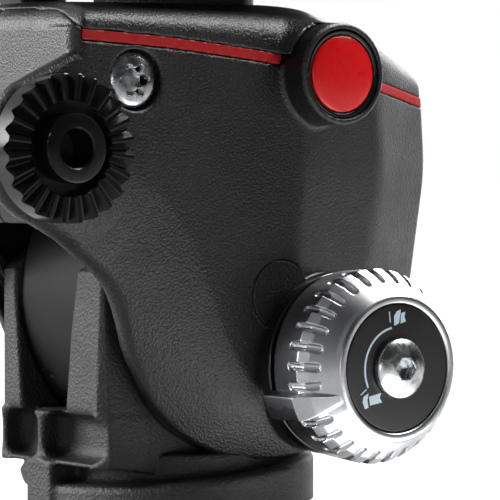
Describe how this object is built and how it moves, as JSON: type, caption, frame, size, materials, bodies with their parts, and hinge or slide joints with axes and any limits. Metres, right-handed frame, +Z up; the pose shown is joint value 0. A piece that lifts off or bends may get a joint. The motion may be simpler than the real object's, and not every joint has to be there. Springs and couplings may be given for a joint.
{
  "type": "two-way head",
  "caption": "Two-way tripod head with a faceted tilting body on a fork, lock knobs, handle rosettes and a sliding camera plate.",
  "frame": {"origin": "centre of the base's underside, on the pan axis, where the tripod's stud enters", "axes": "+Z up along the pan axis, +Y towards the lens side, +X towards the side with the tilt lock knob"},
  "size_m": [0.1024, 0.1264, 0.1365],
  "materials": {
    "black_casting": "fine textured black coat",
    "shell_plastic": "fine grained",
    "gloss_black": "gloss",
    "black_plastic": "satin",
    "rubber": "matte",
    "zinc_steel": "zinc plated",
    "dark_steel": "black oxide",
    "satin_alloy": "satin",
    "plate_alloy": "dark anodised",
    "brass": "machined",
    "nylon": "plain",
    "red_gloss": "gloss",
    "red_paint": "satin",
    "level_fluid": "clear"
  },
  "bodies": {
    "base": {"base_plate": "black_casting", "base_pad": "rubber", "thread_insert": "brass", "pan_spindle": "zinc_steel", "pan_circlip": "dark_steel", "pan_washer": "nylon"},
    "pan_fork": {"pan_body": "black_casting", "pan_drag_disc": "dark_steel", "pan_lock_shoe": "brass", "tilt_axle": "zinc_steel", "tilt_washer_right": "nylon", "tilt_washer_left": "nylon", "axle_screw_right": "zinc_steel", "axle_screw_left": "zinc_steel"},
    "pan_lock": {"pan_lock_knob": "black_plastic", "pan_lock_stud": "zinc_steel"},
    "tilt_head": {"tilt_frame": "black_casting", "tilt_cartridge": "dark_steel", "top_hood": "shell_plastic", "red_stripe_front": "red_paint", "red_stripe_right": "red_paint", "red_stripe_left": "red_paint", "right_shell": "shell_plastic", "left_shell": "shell_plastic", "rosette_right": "dark_steel", "rosette_left": "dark_steel", "badge_bezel_right": "gloss_black", "badge_bezel_left": "gloss_black", "badge_dome_right": "red_gloss", "badge_dome_left": "red_gloss", "shell_screw_right": "zinc_steel", "shell_screw_left": "zinc_steel", "axle_cap_right": "black_plastic", "axle_cap_left": "black_plastic", "tilt_lock_collar": "gloss_black", "tilt_lock_shoe": "brass", "platform": "black_casting", "bubble_level": "level_fluid"},
    "tilt_lock": {"tilt_knob_ring": "satin_alloy", "tilt_knob_disc": "black_plastic", "tilt_knob_screw": "zinc_steel"},
    "plate": {"release_plate": "plate_alloy", "plate_pad_rear": "rubber", "plate_pad_front": "rubber"},
    "plate_screw": {"camera_screw": "zinc_steel"},
    "jaw": {"clamp_jaw": "plate_alloy"},
    "clamp": {"clamp_knob": "black_plastic", "clamp_screw": "zinc_steel"},
    "button": {"safety_button": "red_gloss"}
  },
  "joints": [
    {"name": "pan", "type": "hinge", "parent": "base", "child": "pan_fork", "pos_m": [0, 0, 0], "axis": [0, 0, 1], "continuous": true},
    {"name": "pan_lock_turn", "type": "hinge", "parent": "pan_fork", "child": "pan_lock", "pos_m": [-0.035, 0, 0.0118], "axis": [-1, 0, 0], "range_deg": [0, 110]},
    {"name": "tilt", "type": "hinge", "parent": "pan_fork", "child": "tilt_head", "pos_m": [0, 0.0065, 0.051], "axis": [1, 0, 0], "range_deg": [-50, 45]},
    {"name": "tilt_lock_turn", "type": "hinge", "parent": "tilt_head", "child": "tilt_lock", "pos_m": [0.04, 0.0196, 0.0366], "axis": [1, 0, 0], "range_deg": [0, 110]},
    {"name": "plate_slide", "type": "slide", "parent": "tilt_head", "child": "plate", "axis": [0, 1, 0], "range_m": [-0.015, 0.015]},
    {"name": "plate_screw_turn", "type": "hinge", "parent": "plate", "child": "plate_screw", "pos_m": [0, -0.001, 0.13], "axis": [0, 0, 1], "continuous": true},
    {"name": "clamp_turn", "type": "hinge", "parent": "tilt_head", "child": "clamp", "pos_m": [-0.03, -0.014, 0.1181], "axis": [-1, 0, 0], "range_deg": [0, 180]},
    {"name": "clamp_jaw_slide", "type": "slide", "parent": "tilt_head", "child": "jaw", "axis": [-1, 0, 0], "range_m": [0, 0.0006]},
    {"name": "button_press", "type": "slide", "parent": "tilt_head", "child": "button", "axis": [1, 0, 0], "range_m": [0, 0.002], "stiffness_N_per_m": 500, "springref_m": -0.001}
  ],
  "couplings": [
    {"joint": "clamp_turn", "follows": "clamp_jaw_slide", "rad_per_m": 5235}
  ]
}
